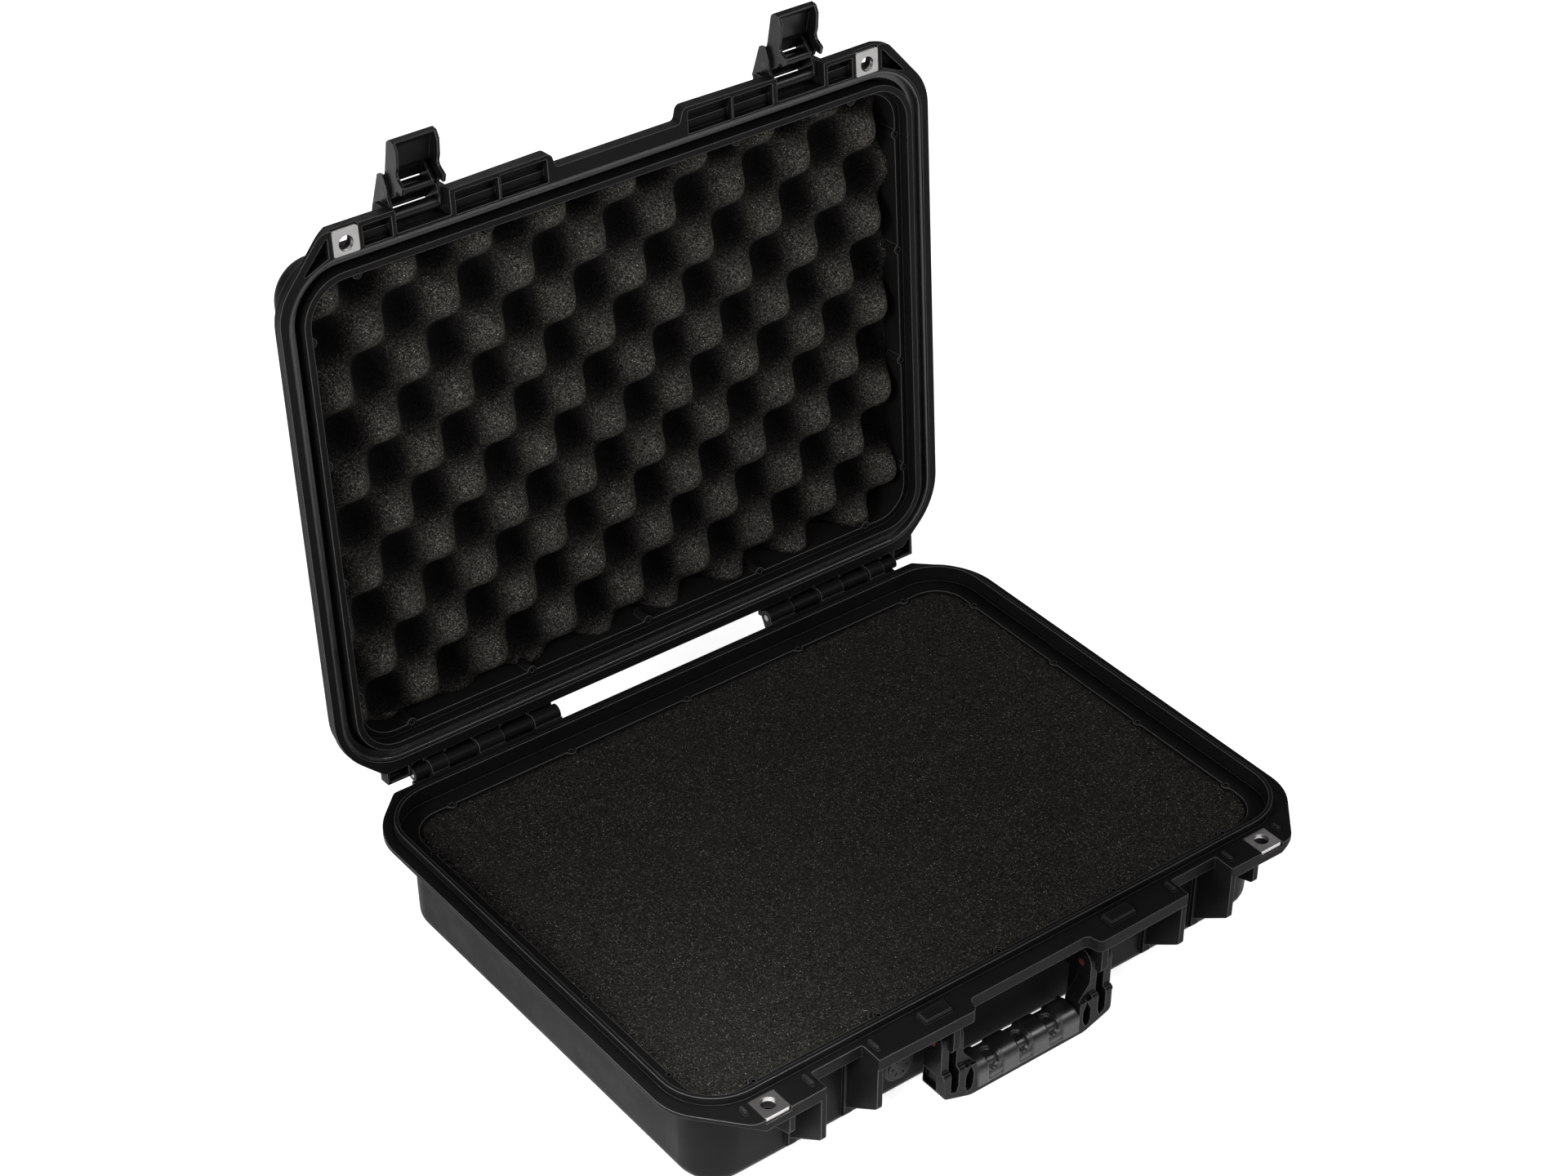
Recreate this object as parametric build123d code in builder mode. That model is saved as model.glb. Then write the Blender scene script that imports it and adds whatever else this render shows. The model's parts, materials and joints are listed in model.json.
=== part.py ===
from build123d import *
import os
from math import cos, radians, sin

# Hard equipment case: a deep base and a shallower lid with foam inside, joined by two hinge
# groups at the back. Two cam latches hang on the lid's front and hook under the base's rim,
# and a folding carrying handle hangs on the base's front. It is modelled lying on its
# bottom with the lid open.
#
# +X is to the right, -Y is the front (handle side), +Z is up, and the origin is the centre
# of the base's flat bottom. Millimetres.

# ---- driving dimensions -----------------------------------------------------------------
BASE_DEPTH = 71.0          # from the bottom to the mating plane
LID_DEPTH = 47.0           # from the mating plane to the lid's top
LID_ANGLE = 94.4           # how far the lid stands open
HINGE_Y = 178.0            # hinge axis, in the mating plane

SEAL_X, SEAL_Y = 216.9, 159.9   # half sizes of the seal's centre line
SEAL_R = 33.0                   # its corner radius
WALL_X, WALL_Y, WALL_R = 208.5, 151.5, 25.0      # outside of the walls, at the rim
ROOM_X, ROOM_Y, ROOM_R = 204.3, 147.3, 21.0      # inside of the walls, at the rim
DRAFT = 1.3                # degrees that the walls lean in
FLOOR = 3.5                # thickness of the base's floor and of the lid's top

MATING_GAP = 0.5           # each flange face stands this far back from the mating plane
FLANGE_DEPTH = 8.4         # back of the flange, from the mating plane
FLANGE_EDGE = 3.0          # below this depth the flange's sides and corners slope inwards
LEDGE_DEPTH = 6.6          # ledge with the panel screw holes
RIDGE_TOP, RIDGE_HALF = 4.5, 1.1                 # the base's sealing ridge
LOCATOR_RISE = 2.0         # height of the locating ribs above the mating plane
GROOVE_IN, GROOVE_OUT, GROOVE_DEPTH = 4.7, 4.0, 11.0   # the lid's groove, from the seal line
LIP_IN, LIP_RISE = 8.7, 1.0                      # the lid's inner lip

LATCH_X = 130.5            # middle of each latch, from the middle of the case
NOTCH_HALF = 17.5          # half width of a latch notch
NOTCH_Y = -166.0           # its back face
RIB = 3.5                  # thickness of the ribs beside a notch
PIN_A = (-171.4, 10.9)     # latch pivot on the lid: y and depth
PIN_B = (-184.5, 14.9)     # lever pivot on the latch body, with the latch swung up
PIN_A_R, PIN_B_R = 2.0, 1.75
RUNNING = 0.08             # radial clearance of every running fit

PLATE_X, PLATE_Y = 180.0, -171.7                 # centre of each padlock plate
PLATE_SIZE = (16.4, 15.2, 3.0)
PADLOCK_Y, PADLOCK_R = -170.6, 4.65              # its hole

LEG_X = (52.0, 56.7)       # the handle's brackets
HANDLE_Y, HANDLE_Z = -165.8, -27.0               # the handle's pivot, from the mating plane
HANDLE_HALF_X, HANDLE_BOTTOM = 62.0, -70.2
HANDLE_BACK, HANDLE_FRONT = -155.4, -176.6
EAR_FRONT = -173.8         # front of the ears above their swellings
EAR_IN = (47.0, 51.6)      # the handle's inner ears
EAR_OUT = (57.3, 62.6)     # and its outer ears
GRIP_HALF_X = 38.0
GRIP_BACK, GRIP_FRONT = -157.4, -177.2
GRIP_SKIN = 0.6            # thickness of the grip over the bar's front and back

HINGE_PIN_R = 2.0
BASE_KNUCKLE_R, LID_KNUCKLE_R = 4.9, 3.8
BASE_KNUCKLES = ((80.3, 99.3), (121.3, 139.3), (161.1, 172.9))
LID_KNUCKLES = ((99.9, 120.7), (139.9, 160.2), (173.5, 184.0))
HINGE_SHIFT = 4.3          # both hinge groups sit this far to the right of the middle
HINGE_END = 200.3          # end of the lid's hinge tab
LEAF = (5.5, 8.4)          # depth of the leaf behind the knuckles
HINGE_WEB = 1.5            # thickness of the lid's hinge webs

SCREW_R, BOSS_R, BOSS_LONG = 1.3, 3.1, 12.0      # the panel screw bosses
SCREW_ROWS_X, SCREW_ROW_Y = (0.0, 86.5, 172.0), 147.4
SCREW_COLS_Y, SCREW_COL_X = (38.5, 116.0), 205.0

VALVE_X, VALVE_Z, VALVE_R = -76.0, -46.0, 10.0   # pressure valve in the base's front wall
FOAM_GAP = 0.5             # foam's clearance to the walls

# ---- frames -----------------------------------------------------------------------------
# Both shells are drawn alike in a frame of their own: its x and y lie in the mating plane,
# -y is the front, and its depth axis z points away from the mating plane, into the shell.
TOP = Plane.XY.offset(BASE_DEPTH)
BASE = Plane(origin=(0, 0, BASE_DEPTH), x_dir=(-1, 0, 0), z_dir=(0, 0, -1))
_turn = radians(LID_ANGLE)
LID = Plane(
    origin=(0, HINGE_Y * (1 - cos(_turn)), BASE_DEPTH + HINGE_Y * sin(_turn)),
    x_dir=(1, 0, 0),
    z_dir=(0, sin(_turn), cos(_turn)),
)
FRONT = Plane(origin=(0, 0, BASE_DEPTH), x_dir=(1, 0, 0), z_dir=(0, -1, 0))


def side(frame, x):
    """Plane across the case at x: its two axes are the frame's y and z, its normal is x."""
    origin = frame.from_local_coords(Vector(x, 0, 0))
    return Plane(origin=origin, x_dir=frame.y_dir, z_dir=frame.x_dir)


# ---- shapes used more than once -----------------------------------------------------------
def rib(frame, x_low, width, outline, mode=Mode.ADD, corners=()):
    """A flat plate from its side outline (y, z), thick along x. corners: (y, z, radius)."""
    with BuildSketch(side(frame, x_low)) as face:
        with BuildLine():
            Polyline(*outline, close=True)
        make_face()
        for y, z, radius in corners:
            fillet(face.vertices().sort_by_distance((y, z))[0], radius)
    extrude(face.sketch, amount=width, mode=mode)


def rod(frame, x_low, length, place, radius, mode=Mode.ADD):
    """A round bar, or a bore, along x through the point (y, z)."""
    with BuildSketch(side(frame, x_low)) as face:
        with Locations(place):
            Circle(radius)
    extrude(face.sketch, amount=length, mode=mode)


def both_sides(low, high):
    """The x at which a piece from low to high starts, on the right and on the left."""
    return (low, -high)


def loop_plate(frame, grow, low, high, mode=Mode.ADD):
    """A slab whose edge runs parallel to the seal line, grow outside it."""
    with BuildSketch(frame.offset(low)) as face:
        RectangleRounded(2 * (SEAL_X + grow), 2 * (SEAL_Y + grow), SEAL_R + grow)
    extrude(face.sketch, amount=high - low, mode=mode)


def flange_face(frame, depth):
    """The rim's outline: chamfered corners, a narrow middle at the front, latch notches."""
    right_half = (
        (0, -173.0, 0), (43.0, -173.0, 3.0), (45.5, -182.0, 4.0),
        (LATCH_X - NOTCH_HALF, -181.0, 0.8), (LATCH_X - NOTCH_HALF, NOTCH_Y, 1.0),
        (LATCH_X + NOTCH_HALF, NOTCH_Y, 1.0), (LATCH_X + NOTCH_HALF, -180.0, 0.8),
        (195.5, -180.3, 10.0), (226.0, -144.8, 34.0),
        (226.0, 143.8, 45.0), (197.4, 170.5, 4.0), (0, 170.5, 0),
    )
    left_half = [(-x, y, r) for x, y, r in reversed(right_half) if x > 0]
    outline = [*right_half, *left_half]
    with BuildSketch(frame.offset(depth)) as face:
        with BuildLine():
            Polyline(*[(x, y) for x, y, _ in outline], close=True)
        make_face()
        for x, y, radius in outline:
            if radius:
                fillet(face.vertices().sort_by_distance((x, y))[0], radius)
    return face.sketch


def tub(frame, depth):
    """The shell's outer body: a rounded box that leans in towards a filleted floor."""
    start = 4.0
    with BuildSketch(frame.offset(start)) as face:
        RectangleRounded(2 * WALL_X, 2 * WALL_Y, WALL_R)
    extrude(face.sketch, amount=depth - start, taper=DRAFT)
    floor = Axis(frame.origin, frame.z_dir)
    fillet(faces().sort_by(floor)[-1].edges(), 9.0)


def rim(frame):
    """The flange. Behind its edge the sides and corners slope in at 45 degrees."""
    extrude(flange_face(frame, MATING_GAP), amount=FLANGE_EDGE - MATING_GAP)
    slope = FLANGE_DEPTH - FLANGE_EDGE
    block = extrude(flange_face(frame, FLANGE_EDGE), amount=slope, mode=Mode.PRIVATE)
    with BuildSketch(frame.offset(FLANGE_EDGE)) as around:
        right_half = ((178.6, -200.0), (226.0, -144.8), (226.0, 143.8), (176.5, 190.0))
        with BuildLine():
            Polyline(*right_half, *[(-x, y) for x, y in reversed(right_half)], close=True)
        make_face()
        fillet(around.vertices().filter_by_position(Axis.Y, -150, 150), 34.0)
    wedge = extrude(around.sketch, amount=slope, taper=45, mode=Mode.PRIVATE)
    add(block & wedge)


def hollow(frame, depth):
    """The room inside the walls, below the ledge."""
    with BuildSketch(frame.offset(LEDGE_DEPTH)) as face:
        RectangleRounded(2 * ROOM_X, 2 * ROOM_Y, ROOM_R)
    extrude(face.sketch, amount=depth - FLOOR - LEDGE_DEPTH, taper=1.0, mode=Mode.SUBTRACT)


def screw_places():
    """Centres of the panel screws: five in each long side and four in each short side."""
    places = []
    for end in (-1, 1):
        for x in SCREW_ROWS_X:
            places += [(x, end * SCREW_ROW_Y)]
            if x:
                places += [(-x, end * SCREW_ROW_Y)]
        for y in SCREW_COLS_Y:
            places += [(end * SCREW_COL_X, y), (end * SCREW_COL_X, -y)]
    return places


def screw_bosses(frame):
    """Round bosses level with the ledge, each with a blind hole for a panel screw."""
    with BuildSketch(frame.offset(LEDGE_DEPTH)) as bosses:
        with Locations(*screw_places()):
            Circle(BOSS_R)
    extrude(bosses.sketch, amount=BOSS_LONG)
    with BuildSketch(frame.offset(LEDGE_DEPTH)) as holes:
        with Locations(*screw_places()):
            Circle(SCREW_R)
    extrude(holes.sketch, amount=BOSS_LONG - 2, mode=Mode.SUBTRACT)


def padlock_pocket(frame):
    """A seat in the flange for each padlock plate, with a hole right through."""
    seat = MATING_GAP - 0.2 + PLATE_SIZE[2]
    for end in (-1, 1):
        with BuildSketch(frame) as seats:
            with Locations((end * PLATE_X, PLATE_Y - 2)):
                Rectangle(PLATE_SIZE[0] + 0.2, PLATE_SIZE[1] + 4.2)
        extrude(seats.sketch, amount=seat, mode=Mode.SUBTRACT)
        with BuildSketch(frame) as hole:
            with Locations((end * PLATE_X, PADLOCK_Y)):
                Circle(PADLOCK_R + 0.6)
        extrude(hole.sketch, amount=FLANGE_DEPTH + 1, mode=Mode.SUBTRACT)


def padlock_plate(frame, x):
    """A steel plate with one round hole, set in the flange."""
    with BuildSketch(frame.offset(MATING_GAP - 0.2)) as face:
        with Locations((x, PLATE_Y)):
            RectangleRounded(PLATE_SIZE[0], PLATE_SIZE[1], 1.2)
        with Locations((x, PADLOCK_Y)):
            Circle(PADLOCK_R, mode=Mode.SUBTRACT)
    extrude(face.sketch, amount=PLATE_SIZE[2])


def knuckles(frame, spans, radius, bore, shift):
    """Hinge knuckles on the axis. Each has a web down to the leaf and a rib below it."""
    for low, high in spans:
        for x in both_sides(low, high):
            rod(frame, x + shift, high - low, (HINGE_Y, 0), radius)
            rib(frame, x + shift, high - low, (
                (HINGE_Y - 3.5, 1.5), (HINGE_Y + radius - 0.4, 1.5), (HINGE_Y + 1.0, LEAF[1]),
                (HINGE_Y - 3.5, LEAF[1])))
        for x in both_sides((low + high) / 2 - 1.5, (low + high) / 2 + 1.5):
            rib(frame, x + shift, 3.0, (
                (149.5, 6.0), (172.0, 6.0), (170.5, FLANGE_DEPTH), (149.5, 26.0)))
    first, last = BASE_KNUCKLES[0][0], LID_KNUCKLES[-1][1]
    for x in both_sides(first, last):
        rib(frame, x + shift, last - first, (
            (165.0, LEAF[0]), (HINGE_Y + 1.0, LEAF[0]), (HINGE_Y + 1.0, LEAF[1]),
            (165.0, LEAF[1])))
    for x in both_sides(first - 1, last + 1):
        rod(frame, x + shift, last - first + 2, (HINGE_Y, 0), bore, mode=Mode.SUBTRACT)


# ---- base -------------------------------------------------------------------------------
with BuildPart() as base_shell:
    tub(BASE, BASE_DEPTH)
    rim(BASE)
    loop_plate(BASE, 2.5, FLANGE_DEPTH - 0.5, FLANGE_DEPTH + 2.1)
    loop_plate(BASE, RIDGE_HALF, -RIDGE_TOP, MATING_GAP + 1)
    # Tapered ribs on both sides of each latch notch, each with a thick foot at the wall.
    for start in (LATCH_X - NOTCH_HALF - RIB, LATCH_X + NOTCH_HALF):
        for low in both_sides(start, start + RIB):
            rib(BASE, low, RIB, (
                (-149.0, 6.0), (-180.0, 6.0), (-180.0, 37.5), (-149.0, 59.0)),
                corners=((-180.0, 37.5, 3.0),))
            rib(BASE, low - 1.0, RIB + 2.0, (
                (-148.0, 8.0), (-153.2, 8.0), (-153.2, 62.0), (-148.0, 66.0)),
                corners=((-153.2, 62.0, 2.5),))
    # Short ribs that carry the padlock plates.
    for low in both_sides(168.0, 171.5):
        rib(BASE, low, RIB, (
            (-149.0, 6.0), (-178.5, 6.0), (-178.5, 22.0), (-149.0, 32.0)),
            corners=((-178.5, 22.0, 3.0),))
    # Brackets that the handle's forks straddle.
    for low in both_sides(*LEG_X):
        rib(BASE, low, LEG_X[1] - LEG_X[0], (
            (-149.0, 6.0), (-176.8, 6.0), (-176.8, 32.0), (-160.0, 32.0), (-149.0, 44.0)),
            corners=((-176.8, 32.0, 4.5),))
        rod(BASE, low - 1, LEG_X[1] - LEG_X[0] + 2, (HANDLE_Y, -HANDLE_Z),
            HINGE_PIN_R + RUNNING, mode=Mode.SUBTRACT)
    # Locating ribs on the flange, which enter the lid's pockets.
    with BuildSketch(TOP.offset(-MATING_GAP - 0.5)) as locators:
        with Locations(*[(end * x, -170.3) for end in (-1, 1) for x in (108.3, 153.0)]):
            RectangleRounded(2.6, 8.6, 1.2)
        with Locations((-194.2, -168.2), (194.2, -168.2)):
            RectangleRounded(2.6, 6.0, 1.2)
        with Locations((-66.0, -170.3), (68.5, -170.3)):
            RectangleRounded(19.0, 9.0, 1.2)
    extrude(locators.sketch, amount=LOCATOR_RISE + MATING_GAP + 0.5)
    level = BASE_DEPTH + LOCATOR_RISE
    tops = faces().filter_by(Axis.Z).filter_by_position(Axis.Z, level - 0.1, level + 0.1)
    chamfer(tops.edges(), 0.8)
    knuckles(BASE, BASE_KNUCKLES, BASE_KNUCKLE_R, HINGE_PIN_R, -HINGE_SHIFT)
    # The ledge along the foot of each knuckle.
    for low, high in BASE_KNUCKLES:
        for x in both_sides(low, high):
            rib(BASE, x - HINGE_SHIFT, high - low, (
                (168.0, 2.6), (171.6, 2.6), (172.0, MATING_GAP + 0.3), (HINGE_Y, MATING_GAP + 0.3),
                (HINGE_Y, LEAF[1]), (168.0, LEAF[1])))
    for x in both_sides(BASE_KNUCKLES[0][0], LID_KNUCKLES[-1][1]):
        length = LID_KNUCKLES[-1][1] - BASE_KNUCKLES[0][0]
        rod(BASE, x - HINGE_SHIFT, length, (HINGE_Y, 0), HINGE_PIN_R, mode=Mode.SUBTRACT)
    loop_plate(BASE, -RIDGE_HALF - 0.2, -RIDGE_TOP, LEDGE_DEPTH, mode=Mode.SUBTRACT)
    hollow(BASE, BASE_DEPTH)
    screw_bosses(BASE)
    padlock_pocket(BASE)
    # Hole for the pressure valve.
    with BuildSketch(FRONT.offset(140.0)) as valve_hole:
        with Locations((VALVE_X, VALVE_Z)):
            Circle(5.0)
    extrude(valve_hole.sketch, amount=20.0, mode=Mode.SUBTRACT)
base_shell.part.label = "base_shell"

# ---- lid --------------------------------------------------------------------------------
with BuildPart() as lid_shell:
    tub(LID, LID_DEPTH)
    rim(LID)
    loop_plate(LID, GROOVE_OUT + 1.9, FLANGE_DEPTH - 0.5, GROOVE_DEPTH + 2.5)
    loop_plate(LID, -GROOVE_IN, -LIP_RISE, MATING_GAP + 1)
    # Ribs on both sides of each latch notch, which hold the latch's pin.
    for start in (LATCH_X - NOTCH_HALF - RIB, LATCH_X + NOTCH_HALF):
        for low in both_sides(start, start + RIB):
            rib(LID, low, RIB, (
                (-149.0, 6.0), (-180.0, 6.0), (-180.0, 18.0), (-149.0, 28.0)),
                corners=((-180.0, 18.0, 2.0),))
    for x in (-LATCH_X, LATCH_X):
        half = NOTCH_HALF + RIB
        rod(LID, x - half, 2 * half, PIN_A, PIN_A_R, mode=Mode.SUBTRACT)
    # Cells in the front of the flange, each with a shallower step at its back.
    cells = ((48.5, 79.8, -179.3), (81.2, 109.8, -178.6), (150.6, 169.2, -177.4))
    for low, high, front in cells:
        for x in both_sides(low, high):
            for start, back, deep in ((front, -165.2, 4.8), (front, -171.5, 7.3)):
                with BuildSketch(LID) as cell:
                    with Locations((x + (high - low) / 2, (start + back) / 2)):
                        RectangleRounded(high - low, back - start, 0.8)
                extrude(cell.sketch, amount=deep, mode=Mode.SUBTRACT)
    for end in (-1, 1):
        with BuildSketch(LID) as corner_cell:
            with BuildLine():
                Polyline((end * 191.2, -177.5), (end * 191.2, -165.0), (end * 209.5, -157.5),
                         close=True)
            make_face()
            fillet(corner_cell.vertices(), 0.8)
        extrude(corner_cell.sketch, amount=7.3, mode=Mode.SUBTRACT)
    knuckles(LID, LID_KNUCKLES, LID_KNUCKLE_R, HINGE_PIN_R + RUNNING, HINGE_SHIFT)
    # Thin webs at the ends of the knuckles, and a tab with a hollow beyond the last one.
    for low, high in LID_KNUCKLES:
        for start in (low, high - HINGE_WEB):
            for x in both_sides(start, start + HINGE_WEB):
                rib(LID, x + HINGE_SHIFT, HINGE_WEB, (
                    (169.0, MATING_GAP), (171.8, MATING_GAP), (173.2, 1.8), (175.0, LEAF[1]),
                    (165.0, LEAF[1])))
    tab_start = LID_KNUCKLES[-1][1]
    for x in both_sides(tab_start, HINGE_END):
        tab_long = HINGE_END - tab_start
        with BuildSketch(LID.offset(MATING_GAP)) as tab:
            with Locations((x + HINGE_SHIFT + tab_long / 2, 171.5)):
                Rectangle(tab_long, 14.0)
                Rectangle(tab_long - 2 * HINGE_WEB, 14.0 - 2 * HINGE_WEB, mode=Mode.SUBTRACT)
        extrude(tab.sketch, amount=LEAF[1] - MATING_GAP)
        with BuildSketch(LID.offset(LEAF[0])) as tab_floor:
            with Locations((x + HINGE_SHIFT + tab_long / 2, 171.5)):
                Rectangle(tab_long, 14.0)
        extrude(tab_floor.sketch, amount=LEAF[1] - LEAF[0])
    with BuildSketch(LID.offset(-LIP_RISE)) as groove:
        RectangleRounded(2 * (SEAL_X + GROOVE_OUT), 2 * (SEAL_Y + GROOVE_OUT), SEAL_R + GROOVE_OUT)
        RectangleRounded(2 * (SEAL_X - GROOVE_IN), 2 * (SEAL_Y - GROOVE_IN), SEAL_R - GROOVE_IN,
                         mode=Mode.SUBTRACT)
    extrude(groove.sketch, amount=GROOVE_DEPTH + LIP_RISE, mode=Mode.SUBTRACT)
    loop_plate(LID, -LIP_IN, -LIP_RISE, LEDGE_DEPTH, mode=Mode.SUBTRACT)
    hollow(LID, LID_DEPTH)
    screw_bosses(LID)
    padlock_pocket(LID)
    # A sunk panel and two stiffening ribs on the lid's outside.
    with BuildSketch(LID.offset(LID_DEPTH - 1.2)) as panel:
        RectangleRounded(340.0, 226.0, 18.0)
        with Locations((0, -56.0), (0, 56.0)):
            RectangleRounded(290.0, 22.0, 8.0, mode=Mode.SUBTRACT)
    extrude(panel.sketch, amount=2.0, mode=Mode.SUBTRACT)
lid_shell.part.label = "lid_shell"

# The gasket fills the outer part of the lid's groove: a low shoulder that the base's ridge
# meets, and a taller round bead outside it.
with BuildPart() as lid_gasket:
    shoulder = RIDGE_TOP + 0.3
    bead_in = RIDGE_HALF + 0.4
    with BuildSketch(LID.offset(shoulder)) as band:
        RectangleRounded(2 * (SEAL_X + GROOVE_OUT - 0.1), 2 * (SEAL_Y + GROOVE_OUT - 0.1),
                         SEAL_R + GROOVE_OUT - 0.1)
        RectangleRounded(2 * (SEAL_X - 1.8), 2 * (SEAL_Y - 1.8), SEAL_R - 1.8,
                         mode=Mode.SUBTRACT)
    extrude(band.sketch, amount=GROOVE_DEPTH - shoulder)
    with BuildSketch(LID.offset(0.9)) as bead:
        RectangleRounded(2 * (SEAL_X + GROOVE_OUT - 0.1), 2 * (SEAL_Y + GROOVE_OUT - 0.1),
                         SEAL_R + GROOVE_OUT - 0.1)
        RectangleRounded(2 * (SEAL_X + bead_in), 2 * (SEAL_Y + bead_in), SEAL_R + bead_in,
                         mode=Mode.SUBTRACT)
    extrude(bead.sketch, amount=shoulder - 0.9 + 1.0)
    crown = faces().sort_by(Axis(LID.origin, LID.z_dir))[0]
    fillet(crown.edges(), 0.9)
lid_gasket.part.label = "lid_gasket"


# ---- foam -------------------------------------------------------------------------------
def foam_block(frame, low, high, shrink=0.0):
    """A foam block that fits the room, cut out round the screw bosses."""
    with BuildSketch(frame.offset(low)) as face:
        RectangleRounded(2 * (ROOM_X - FOAM_GAP - shrink), 2 * (ROOM_Y - FOAM_GAP - shrink), ROOM_R)
        with Locations(*screw_places()):
            Circle(BOSS_R + FOAM_GAP, mode=Mode.SUBTRACT)
    extrude(face.sketch, amount=high - low)


with BuildPart() as base_foam:
    foam_block(BASE, LEDGE_DEPTH + 0.6, 58.0, shrink=0.9)
    with Locations((VALVE_X, -ROOM_Y + 2.0, BASE_DEPTH + VALVE_Z)):
        Box(22.0, 14.0, 22.0, mode=Mode.SUBTRACT)
base_foam.part.label = "base_foam"

with BuildPart() as base_foam_pad:
    foam_block(BASE, 58.0, BASE_DEPTH - FLOOR, shrink=1.2)
base_foam_pad.part.label = "base_foam_pad"

with BuildPart() as lid_foam:
    foam_block(LID, LEDGE_DEPTH + 0.4, LID_DEPTH - FLOOR, shrink=0.7)
lid_foam.part.label = "lid_foam"

pieces = [base_shell, lid_shell, lid_gasket, base_foam, base_foam_pad, lid_foam]

# ---- hinge pins and padlock plates --------------------------------------------------------
for name, x_low in (("right", BASE_KNUCKLES[0][0]), ("left", -LID_KNUCKLES[-1][1])):
    with BuildPart() as hinge_pin:
        length = LID_KNUCKLES[-1][1] - BASE_KNUCKLES[0][0]
        rod(TOP, x_low + HINGE_SHIFT, length, (HINGE_Y, 0), HINGE_PIN_R)
    hinge_pin.part.label = f"hinge_pin_{name}"
    pieces.append(hinge_pin)

for shell_name, frame, right in (("base", BASE, -1), ("lid", LID, 1)):
    for name, end in (("right", right), ("left", -right)):
        with BuildPart() as plate:
            padlock_plate(frame, end * PLATE_X)
        plate.part.label = f"{shell_name}_padlock_plate_{name}"
        pieces.append(plate)


# ---- latches ----------------------------------------------------------------------------
def latch_body_shape(x):
    """The latch's body: two cheeks, a top plate between them and the barrel of its pin."""
    cheek = (
        (-168.0, 15.0), (-170.2, 22.8), (-175.0, 26.3), (-195.7, 17.7), (-196.2, 12.0),
        (-188.5, 9.0), (-183.5, 9.6), (-176.5, 6.9), (-171.4, 6.7), (-168.0, 9.0),
    )
    rounded = tuple((y, z, 1.2) for y, z in (cheek[0], cheek[1], cheek[3], cheek[4], cheek[9]))
    for low in (x - 16.5, x + 14.6):
        rib(LID, low, 1.9, cheek, corners=rounded)
    rib(LID, x - 15.0, 30.0, (
        (-170.6, 22.4), (-175.0, 26.1), (-184.4, 22.25), (-183.5, 20.0), (-175.2, 23.4),
        (-172.3, 20.9)))
    rod(LID, x - 15.0, 30.0, PIN_A, 4.1)
    rod(LID, x - 17.0, 34.0, PIN_A, PIN_A_R + RUNNING, mode=Mode.SUBTRACT)
    rod(LID, x - 17.0, 34.0, PIN_B, PIN_B_R, mode=Mode.SUBTRACT)


def latch_lever_shape(x):
    """The latch's lever: a scoop with two side walls that end in hooks, two inner ribs and
    a round bar between them, on the barrel of its pin."""
    wall = (
        (-218.6, 5.6), (-216.6, 8.0), (-198.5, 12.6), (-188.2, 16.6), (-181.4, 15.5),
        (-181.8, 11.0), (-185.5, 4.5), (-189.4, 2.6), (-188.2, -2.4), (-192.7, -4.0),
        (-197.8, 2.5), (-203.5, 0.2), (-213.2, -0.8), (-217.8, 1.2),
    )
    rounded = ((-218.6, 5.6, 1.2), (-217.8, 1.2, 1.5), (-192.7, -4.0, 1.0), (-197.8, 2.5, 4.0),
               (-203.5, 0.2, 6.0), (-189.4, 2.6, 1.0))
    for low in (x - 14.2, x + 12.4):
        rib(LID, low, 1.8, wall, corners=rounded)
    rib(LID, x - 13.0, 26.0, (
        (-218.6, 5.6), (-216.6, 8.0), (-198.5, 12.6), (-196.4, 11.4), (-199.4, 9.6),
        (-214.6, 5.4), (-216.6, 1.6), (-217.8, 1.2)),
        corners=((-218.6, 5.6, 1.2), (-214.6, 5.4, 4.0)))
    rib(LID, x - 13.0, 26.0, (
        (-198.5, 12.6), (-188.2, 16.6), (-188.9, 14.9), (-198.0, 10.9)))
    for low in (x - 10.6, x + 8.8):
        rib(LID, low, 1.8, (
            (-198.5, 12.2), (-188.4, 16.2), (-183.6, 12.0), (-184.9, 4.0), (-188.9, 2.4),
            (-197.0, 9.8)), corners=((-188.9, 2.4, 1.0),))
    rod(LID, x - 9.5, 19.0, (-187.2, 5.0), 2.5)
    rod(LID, x - 13.0, 26.0, PIN_B, 3.3)
    rod(LID, x - 15.0, 30.0, PIN_B, PIN_B_R + RUNNING, mode=Mode.SUBTRACT)


for name, x in (("left", -LATCH_X), ("right", LATCH_X)):
    with BuildPart() as latch_body:
        latch_body_shape(x)
    latch_body.part.label = f"latch_body_{name}"
    with BuildPart() as latch_lever:
        latch_lever_shape(x)
    latch_lever.part.label = f"latch_lever_{name}"
    with BuildPart() as body_pin:
        rod(LID, x - NOTCH_HALF - RIB, 2 * (NOTCH_HALF + RIB), PIN_A, PIN_A_R)
    body_pin.part.label = f"latch_body_pin_{name}"
    with BuildPart() as lever_pin:
        rod(LID, x - 16.5, 33.0, PIN_B, PIN_B_R)
    lever_pin.part.label = f"latch_lever_pin_{name}"
    pieces += [latch_body, latch_lever, body_pin, lever_pin]

# ---- handle -----------------------------------------------------------------------------
GRIP_TOP, GRIP_LOW = -50.8, -67.0
CORE_TOP = -60.0
HANDLE_THICK = HANDLE_BACK - HANDLE_FRONT
BAR_END = 42.4             # where the bar's ends start to rise to the ears
EAR_TOP, EAR_LOW = -17.0, -63.0
KNOB = (-47.5, 2.4)        # height and radius of the round swelling on each ear

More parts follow.
